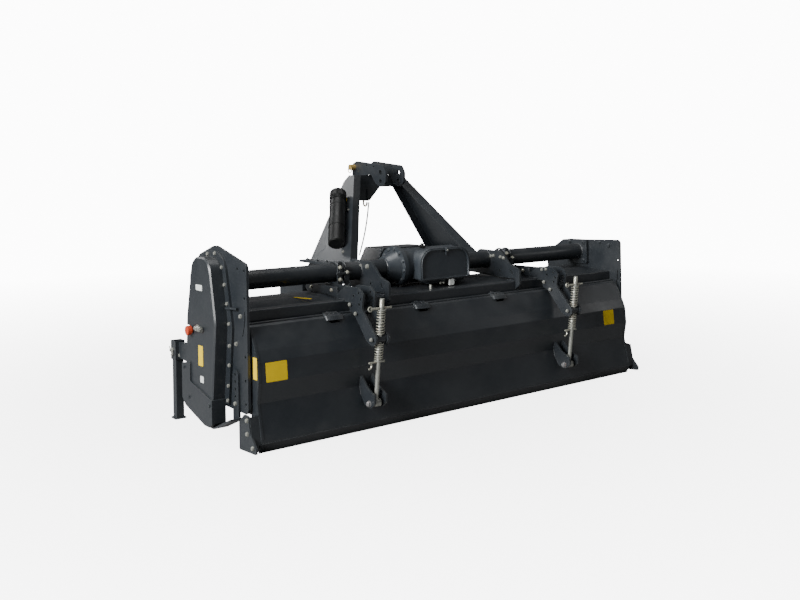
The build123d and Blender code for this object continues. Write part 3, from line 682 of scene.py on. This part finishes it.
BOARD_LINE = (
    # the sheet's outside: forward of the tube, height
    (-265, 514), (-278, 508), (-326, 414), (-345, 368), (-352, 284), (-336, 199), (-372, 48), (-350, 1),
)
HINGES = (-750, -250, 250, 750)
BOARD_END = 1158.0          # middle of the strip at each end of the board
SHIELD_FACE = 1205.0


def add_strip(bm, x, high, low, start, end):
    """A 2 mm strip on the board between two heights, from start to end across from x."""
    top, foot = board_place(x, high)[0], board_place(x, low)[0]
    reach = (foot - top).length / MM
    add_plate(bm, ((start, 0), (end, 0), (end, reach), (start, reach)),
              RIGHT, (foot - top).normalized(), board_place(x, (high + low) / 2)[1], top, 2)


class TILLER_OT_board_trim(bpy.types.Operator):
    """The hinges' covers and screws, the board's hem and end strips, and the shields' bolts and flanges"""
    bl_idname = "tiller.board_trim"
    bl_label = "Tailboard trim"

    def execute(self, context):
        bm = bmesh.new()
        for x in HINGES:
            add_bolt(bm, place(x - 8, -284, 506), (0, -1, 0.5), 7, washer=False)
        for sign in (-1, 1):
            for forward, height in ((-328, 138), (-330, 84), (-376, 36)):
                add_bolt(bm, place(sign * SHIELD_FACE, forward, height), (sign, 0, 0), 10)
        finish_piece("board_bolts", bm, "zinc", "tailboard")

        # a pressed cover over each hinge, open below: three rows from its root to its lip
        bm = bmesh.new()
        cover_wall = Vector((0, -0.9, 0.45)) * 2 * MM
        for x in HINGES:
            rows = []
            for turn in range(0, 181, 12):
                arm = math.radians(turn)
                across = x - 44 * math.cos(arm)
                bulge = math.sin(arm) ** 0.6
                rows.append((
                    place(across, -262 - 4 * bulge, 519), place(across, -268 - 20 * bulge, 514),
                    place(across, -282 - 17 * bulge, 497)))
            for before, after in zip(rows, rows[1:]):
                for low, high in ((0, 1), (1, 2)):
                    add_slab(bm, (before[low], before[high], after[high], after[low]), cover_wall)
        # a stiffening bar along the lower edge
        add_tube(bm, [board_place(x, 42)[0] for x in (-1163, 1163)], 3.5, 10)
        for sign in (-1, 1):
            # a strip down each end of the board, face by face, and a flange from shield to board
            for high, low in zip((505, 414, 368, 284, 199), (414, 368, 284, 199, 60)):
                add_strip(bm, sign * BOARD_END, high - 1, low + 1, -5, 5)
            add_strip(bm, sign * (BOARD_END + 2), 156, 40, 0, sign * 44)
        finish_piece("board_strips", bm, "charcoal", "tailboard")
        return {"FINISHED"}


# ---- Stands ----

class TILLER_OT_stand_pins(bpy.types.Operator):
    """The pins that hold the stands, each with a spring clip"""
    bl_idname = "tiller.stand_pins"
    bl_label = "Stand pins"

    def execute(self, context):
        bm = bmesh.new()
        for sign in (-1, 1):
            side = Vector((sign, 0, 0))
            face = place(sign * 1217.75, 400, 325)
            add_disc(bm, face, side, 12, 4)
            add_disc(bm, face + side * 4 * MM, side, 7, 10, chamfer=1.5)
            # the clip: a straight wire through the pin and a loop round it
            clip = face + side * 10 * MM
            add_tube(bm, [clip + (UP * 16 + FORWARD * 14) * MM, clip + (BACK * 16 + DOWN * 20) * MM], 2.4, 8)
            loop = arc_path(clip + (BACK * 10 + DOWN * 12) * MM, FORWARD, UP, 12, 20, 320, 20)
            add_tube(bm, loop, 2.2, 8)
            add_bolt(bm, place(sign * 1192, 374.25, 300), BACK, 10)
        finish_piece("stand_pins", bm, "zinc", "frame")
        return {"FINISHED"}


# ---- Headstock ----

# the legs lean in from (across, height) of their feet to that of their heads
LEG_FOOT, LEG_HEAD = (425, 700), (164, 1141)
LEG_LEAN = math.atan2(LEG_FOOT[0] - LEG_HEAD[0], LEG_HEAD[1] - LEG_FOOT[1])
LEG_UP = Vector((math.sin(LEG_LEAN), 0, math.cos(LEG_LEAN)))
LEG_OUT = Vector((-math.cos(LEG_LEAN), 0, math.sin(LEG_LEAN)))


def leg_place(along, up, out=0.0):
    """A point on the left leg's outer face: forward of the tube, up along the leg, off its face."""
    return place(-LEG_FOOT[0], along, LEG_FOOT[1]) + (LEG_UP * up + LEG_OUT * out) * MM


TOP_PIN = (548, 1186)       # forward of the tube, height
CORD_SAG = 14.0
CORD_STEPS = 12
GRIP_DEPTH = 0.965          # the grip's hollows as a share of the cap's radius


class TILLER_OT_headstock_trim(bpy.types.Operator):
    """The top link pin's ends, the hook with its plate and cord, and the document tube's cap and screws"""
    bl_idname = "tiller.headstock_trim"
    bl_label = "Headstock trim"

    def execute(self, context):
        # the pin's head with its pull ring on the left, and a washer with a cotter on the right
        bm = bmesh.new()
        pin = place(-100, *TOP_PIN)
        add_disc(bm, pin + RIGHT * 4 * MM, RIGHT, 15, 5, chamfer=1)
        add_tube(bm, arc_path(pin + (RIGHT * 2 + DOWN * 14) * MM, BACK, DOWN, 17, 0, 360, 32), 2.6, 8)
        add_disc(bm, place(92, *TOP_PIN), RIGHT, 22, 3)
        cotter = place(88, *TOP_PIN)
        add_tube(bm, [cotter + UP * 22 * MM, cotter + DOWN * 22 * MM], 3, 8)
        hook = place(-71, 458, 985)
        add_tube(bm, [hook + UP * 40 * MM, hook] + arc_path(
            hook + BACK * 16 * MM, FORWARD, DOWN, 16, 0, 200, 12), 5, 8)
        finish_piece("top_pin_ring", bm, "gold", "frame")

        bm = bmesh.new()
        add_block(bm, place(-62, 452, 1030), (6, 56, 66))
        add_bolt(bm, place(-67, 452, 1042), LEFT, 10)
        finish_piece("hook_plate", bm, "charcoal", "frame", bevel=1.0)

        # the cord hangs from the hook's plate, and sags a little to the rear
        bm = bmesh.new()
        high, low = place(-66, 414, 990), place(-70, 508, 692)
        add_tube(bm, [
            high.lerp(low, step / CORD_STEPS) + BACK * CORD_SAG * math.sin(math.pi * step / CORD_STEPS) * MM
            for step in range(CORD_STEPS + 1)], 4.2, 8)
        finish_piece("hook_cord", bm, "dark", "frame")

        bm = bmesh.new()
        low, high = leg_place(190, 75, 48), leg_place(400, 375, 48)
        way = (high - low).normalized()
        cap = high - way * 46 * MM
        verts = add_disc(bm, cap, way, 45.5, 40, segments=72, chamfer=0.5)
        for number, vert in enumerate(verts):
            # every other pair of corners is drawn in, for the cap's grip
            if (number // 2) % 2:
                middle = cap + way * (vert.co - cap).dot(way)
                vert.co = middle + (vert.co - middle) * GRIP_DEPTH
        # the cap's dome, two beads under it, and two hoops round the tube
        add_disc(bm, cap + way * 40 * MM, way, 44, 5, segments=48, chamfer=4)
        for shift in (-12, -24):
            add_disc(bm, cap + way * shift * MM, way, 44.5, 5, segments=48, chamfer=1)
        for share in (0.3, 0.7):
            add_disc(bm, low.lerp(high, share), way, 43.6, 14, segments=48)
        finish_piece("document_tube_cap", bm, "black", "frame")

        bm = bmesh.new()
        for along, up in ((308, 297), (176, 57)):
            add_bolt(bm, leg_place(along, up), LEG_OUT, 8)
        finish_piece("document_tube_screws", bm, "zinc", "frame")
        return {"FINISHED"}


# ---- Rotor ----

DISC_REACH = 1038.0         # middle of the machine to the last disc
DISCS = 10
DISC_TURN = 17.0            # degrees that each disc is turned from the one before
TINES = 6                   # on each disc, pointing left and right in turn
TINE_BOLTS = 102.0          # rotor's axis to a tine's two bolts
TINE_BOLT_SHIFT = 15.0


class TILLER_OT_tine_bolts(bpy.types.Operator):
    """Two bolts through each tine's shank"""
    bl_idname = "tiller.tine_bolts"
    bl_label = "Tine bolts"

    def execute(self, context):
        bm = bmesh.new()
        for disc in range(DISCS):
            x = -DISC_REACH + 2 * DISC_REACH * disc / (DISCS - 1)
            for tine in range(TINES):
                side = RIGHT if tine % 2 else LEFT
                turn = math.radians(DISC_TURN * disc + 360 / TINES * tine)
                outward = Vector((0, -math.sin(turn), math.cos(turn)))
                sideways = Vector((0, math.cos(turn), math.sin(turn)))
                for shift in (-TINE_BOLT_SHIFT, TINE_BOLT_SHIFT):
                    spot = place(x, 0, ROTOR_HEIGHT) + (outward * TINE_BOLTS + sideways * shift) * MM
                    add_disc(bm, spot + side * 13 * MM, side, 9, 8, segments=6)
                    add_disc(bm, spot - side * 5 * MM, -side, 9, 6, segments=6)
        finish_piece("tine_bolts", bm, "tine", "rotor")
        return {"FINISHED"}


# ---- Welds ----

class TILLER_OT_welds(bpy.types.Operator):
    """The beads that join the frame's plates and tubes"""
    bl_idname = "tiller.welds"
    bl_label = "Welds"

    def execute(self, context):
        size = context.scene.tiller.bead_size
        fine = size * 0.8
        bm = bmesh.new()
        # round the tube at the side plates, the brackets and the gearbox's flange
        for x, radius in (
                (-1174, 45), (-431, 45), (-418, 45), (-276, 46), (418, 45), (431, 45), (1154, 45)):
            add_ring_bead(bm, x, 0, TUBE_HEIGHT, radius, size)
        for sign in (-1, 1):
            # along the arms' and the brackets' feet on the hood's beam
            for shift in (-38, -26, 26, 38):
                x = sign * ROD_X + shift
                add_bead(bm, place(x, -228, 569), place(x, -168, 569), size)
            for x in (sign * 418, sign * 431):
                add_bead(bm, place(x, -228, 569), place(x, -170, 569), size)
            # down the stands' arms on the side plates
            for x in (sign * (PLATE_OUT + 9), sign * (PLATE_OUT + 0.5)):
                add_bead(bm, place(x, 197, 280), place(x, 197, 375), fine)
        for x in HINGES:
            for shift in (-6, 6):
                add_bead(bm, place(x + shift, -229, 504), place(x + shift, -229, 525), fine)
        finish_piece("frame_welds", bm, "charcoal", "frame", smooth=60)

        bm = bmesh.new()
        for sign in (-1, 1):
            # down both sides of each rod bracket's ears, on two faces of the board
            for shift in (-35, -25, 25, 35):
                x = sign * ROD_X + shift
                for high, low in ((243, 201), (197, 165)):
                    add_bead(bm, board_place(x, high)[0], board_place(x, low)[0], fine)
        for x in HINGES:
            for shift in (-34, -10, 10, 34):
                add_bead(bm, place(x + shift, -268, 515), place(x + shift, -258, 520), size * 0.7)
        finish_piece("board_welds", bm, "charcoal", "tailboard", smooth=60)
        return {"FINISHED"}


# ---- Blank plates ----

PLATE_T = 0.7
BOARD_PLATES = (
    # middle across, middle height, width, height, finish
    (-1077, 325, 100, 80, "yellow"), (1017, 327, 84, 80, "yellow"),
)
END_PLATES = (
    # name, body, middle (x, forward, height), width, height, corner, finish
    ("board_end_plate", "tailboard", (-1165.1, -328, 344), 34, 90, 3, "yellow"),
    ("case_plate_high", "frame", (CASE_FACE, 2, 656), 62, 25, 4, "white"),
    ("case_plate_middle", "frame", (CASE_FACE, -6, 362), 46, 88, 4, "yellow"),
    ("case_plate_low", "frame", (CASE_FACE, -16, 261), 34, 28, 4, "white"),
)


class TILLER_OT_blank_plates(bpy.types.Operator):
    """The yellow and white label plates, all left blank"""
    bl_idname = "tiller.blank_plates"
    bl_label = "Blank plates"

    def execute(self, context):
        for number, (across, height, wide, tall, finish) in enumerate(BOARD_PLATES, 1):
            bm = bmesh.new()
            spot, out, down = board_place(across, height, 0.1)
            add_plate(bm, rounded(wide, tall, 4), RIGHT, -down, out, spot, PLATE_T)
            finish_piece(f"board_plate_{number}", bm, finish, "tailboard")
        for name, body, middle, wide, tall, corner, finish in END_PLATES:
            bm = bmesh.new()
            add_plate(bm, rounded(wide, tall, corner), FORWARD, UP, LEFT, place(*middle), PLATE_T)
            finish_piece(name, bm, finish, body)
        bm = bmesh.new()
        add_plate(bm, rounded(48, 24, 3), FORWARD, LEG_UP, LEG_OUT, leg_place(388, 352, 0.1), PLATE_T)
        finish_piece("leg_plate", bm, "yellow", "frame")
        bm = bmesh.new()
        turns = [math.radians(360 / 32 * step) for step in range(32)]
        oval = [(32 * math.cos(turn), 24 * math.sin(turn)) for turn in turns]
        add_plate(bm, oval, FORWARD, LEG_UP, LEG_OUT, leg_place(392, 71, 0.1), 0.8)
        finish_piece("leg_oval_plate", bm, "charcoal", "frame")
        # a thin strip along the hood, a little askew
        bm = bmesh.new()
        way = Vector((-43, 139, 0)).normalized()
        add_plate(bm, rounded(12, 140, 4), way.cross(UP), way, UP, place(-810, -92, 579), 1.0)
        finish_piece("hood_strip", bm, "yellow", "frame")
        return {"FINISHED"}


# ---- Stage ----

GLOW_NEAR, GLOW_FAR = 1.2, 7.0      # metres over which the floor's glow rises
LAMPS = (
    # name, place, size in metres, watts
    ("left_softbox", (-9.0, -2.2, 3.4), 4.0, 2500.0),
    ("top_softbox", (-0.8, -0.6, 5.0), 3.0, 190.0),
    ("rear_softbox", (5.5, -4.0, 2.0), 1.2, 14.0),
    ("front_softbox", (-2.5, 6.5, 5.0), 3.0, 160.0),
)
LAMP_TARGET = Vector((0, -0.5, -0.1))


def make_floor(settings):
    """A floor of pale paper that glows to the camera, more so the farther it lies from the machine."""
    bm = bmesh.new()
    bmesh.ops.create_grid(bm, x_segments=1, y_segments=1, size=30.0)
    bmesh.ops.translate(bm, verts=bm.verts, vec=(0, 0, GROUND_Z * MM))
    mesh = bpy.data.meshes.new("floor")
    bm.to_mesh(mesh)
    bm.free()
    floor = bpy.data.objects.new("floor", mesh)
    bpy.context.scene.collection.objects.link(floor)
    # pale paper, darker to the lamps than to the camera so that it lights the machine little
    paper, tree, shader, spot = start_material("white_paper")
    shader.inputs["Base Color"].default_value = linear("#7c7c7c")
    shader.inputs["Roughness"].default_value = 0.9
    away = add_node(tree, "ShaderNodeVectorMath", {"operation": "LENGTH"}, links={0: spot["Vector"]})
    glow = add_range(tree, away.outputs["Value"], GLOW_NEAR, GLOW_FAR,
                     settings.floor_glow, settings.backdrop_light)
    seen = add_node(tree, "ShaderNodeLightPath").outputs["Is Camera Ray"]
    shader.inputs["Emission Color"].default_value = linear("#ffffff")
    tree.links.new(add_times(tree, glow, seen), shader.inputs["Emission Strength"])
    mesh.materials.append(paper)


def make_world(context, settings):
    """A studio that is bright to the camera as a paper backdrop, and dim as a light."""
    world = bpy.data.worlds.new("studio")
    world.use_nodes = True
    tree = world.node_tree
    room = tree.nodes["Background"]
    room.inputs["Color"].default_value = linear("#fbfcff")
    room.inputs["Strength"].default_value = settings.room_light
    backdrop = add_node(tree, "ShaderNodeBackground", inputs={
        "Color": linear("#ffffff"), "Strength": settings.backdrop_light})
    seen = add_node(tree, "ShaderNodeLightPath").outputs["Is Camera Ray"]
    mix = add_node(tree, "ShaderNodeMixShader", links={0: seen, 1: room.outputs[0], 2: backdrop.outputs[0]})
    tree.links.new(mix.outputs[0], tree.nodes["World Output"].inputs["Surface"])
    context.scene.world = world


def make_lamps(context):
    """Square softboxes that all point at the machine."""
    for name, spot, size, power in LAMPS:
        light = bpy.data.lights.new(name, "AREA")
        light.shape = "SQUARE"
        light.size = size
        light.energy = power
        lamp = bpy.data.objects.new(name, light)
        context.scene.collection.objects.link(lamp)
        lamp.location = spot
        lamp.rotation_euler = (LAMP_TARGET - Vector(spot)).to_track_quat("-Z", "Y").to_euler()


def make_camera(context, settings):
    """A level camera with a shifted lens, from behind the machine and its left."""
    camera = bpy.data.objects.new("camera", bpy.data.cameras.new("camera"))
    context.scene.collection.objects.link(camera)
    camera.data.sensor_width = 36.0
    camera.data.lens = settings.lens
    camera.data.shift_y = settings.camera_shift
    camera.data.dof.use_dof = False
    camera.data.clip_end = 100.0
    camera.location = settings.camera_place
    yaw = math.radians(settings.camera_yaw)
    level = Vector((math.sin(yaw), math.cos(yaw), 0)).to_track_quat("-Z", "Y")
    roll = Matrix.Rotation(math.radians(settings.camera_roll), 3, "Z").to_quaternion()
    camera.rotation_mode = "QUATERNION"
    camera.rotation_quaternion = level @ roll
    context.scene.camera = camera


class TILLER_OT_stage(bpy.types.Operator):
    """Pale floor, soft studio light and the camera"""
    bl_idname = "tiller.stage"
    bl_label = "Stage"

    def execute(self, context):
        settings = context.scene.tiller
        make_floor(settings)
        make_world(context, settings)
        make_lamps(context)
        make_camera(context, settings)
        return {"FINISHED"}


# ---- Settings, panel and start ----

class TillerSettings(bpy.types.PropertyGroup):
    paint: bpy.props.StringProperty(
        name="Paint", description="Colour of the powder coat, as an sRGB hex code", default="#171b1f")
    bolt_size: bpy.props.FloatProperty(
        name="Bolt size", description="Thread of the larger bolts on the side plates, in millimetres",
        default=12.0)
    spring_wire: bpy.props.FloatProperty(
        name="Spring wire", description="Thickness of the springs' wire, in millimetres", default=4.5)
    bead_size: bpy.props.FloatProperty(
        name="Bead size", description="Radius of a weld's bead, in millimetres", default=4.0)
    room_light: bpy.props.FloatProperty(
        name="Room light", description="Strength of the light from all round", default=0.16)
    backdrop_light: bpy.props.FloatProperty(
        name="Backdrop light", description="Brightness of the backdrop in the picture", default=12.0)
    floor_glow: bpy.props.FloatProperty(
        name="Floor glow", description="Brightness of the floor under the machine", default=4.5)
    lens: bpy.props.FloatProperty(
        name="Lens", description="Focal length in millimetres", default=39.6)
    camera_shift: bpy.props.FloatProperty(
        name="Camera shift", description="Vertical shift, as a share of the picture's width", default=-0.148)
    camera_place: bpy.props.FloatVectorProperty(
        name="Camera place", description="Camera's place in the row frame", default=(-2.85, -4.09, 0.60),
        subtype="TRANSLATION", unit="LENGTH")
    camera_yaw: bpy.props.FloatProperty(
        name="Camera yaw", description="Degrees to the right of straight forward", default=37.0)
    camera_roll: bpy.props.FloatProperty(
        name="Camera roll", description="Degrees of roll about the view line", default=-0.93)


class TILLER_PT_panel(bpy.types.Panel):
    """Sidebar panel with the looks' operators"""
    bl_label = "Tiller"
    bl_idname = "TILLER_PT_panel"
    bl_space_type = "VIEW_3D"
    bl_region_type = "UI"
    bl_category = "Tiller"

    def draw(self, context):
        for key in TillerSettings.__annotations__:
            self.layout.prop(context.scene.tiller, key)
        for step in STEPS:
            self.layout.operator(step.bl_idname)


STEPS = (
    TILLER_OT_finishes, TILLER_OT_case_trim, TILLER_OT_gearbox_trim, TILLER_OT_frame_bolts,
    TILLER_OT_tube_clamps, TILLER_OT_springs, TILLER_OT_rod_pins, TILLER_OT_board_trim,
    TILLER_OT_stand_pins, TILLER_OT_headstock_trim, TILLER_OT_tine_bolts, TILLER_OT_welds,
    TILLER_OT_blank_plates, TILLER_OT_stage,
)


def register():
    for made in (TillerSettings, *STEPS, TILLER_PT_panel):
        bpy.utils.register_class(made)
    bpy.types.Scene.tiller = bpy.props.PointerProperty(type=TillerSettings)


def unregister():
    del bpy.types.Scene.tiller
    for made in (TILLER_PT_panel, *reversed(STEPS), TillerSettings):
        bpy.utils.unregister_class(made)


def main():
    """Registers the add-on and runs every step."""
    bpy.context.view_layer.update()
    register()
    for step in STEPS:
        group, name = step.bl_idname.split(".")
        getattr(getattr(bpy.ops, group), name)()


if __name__ == "__main__":
    main()
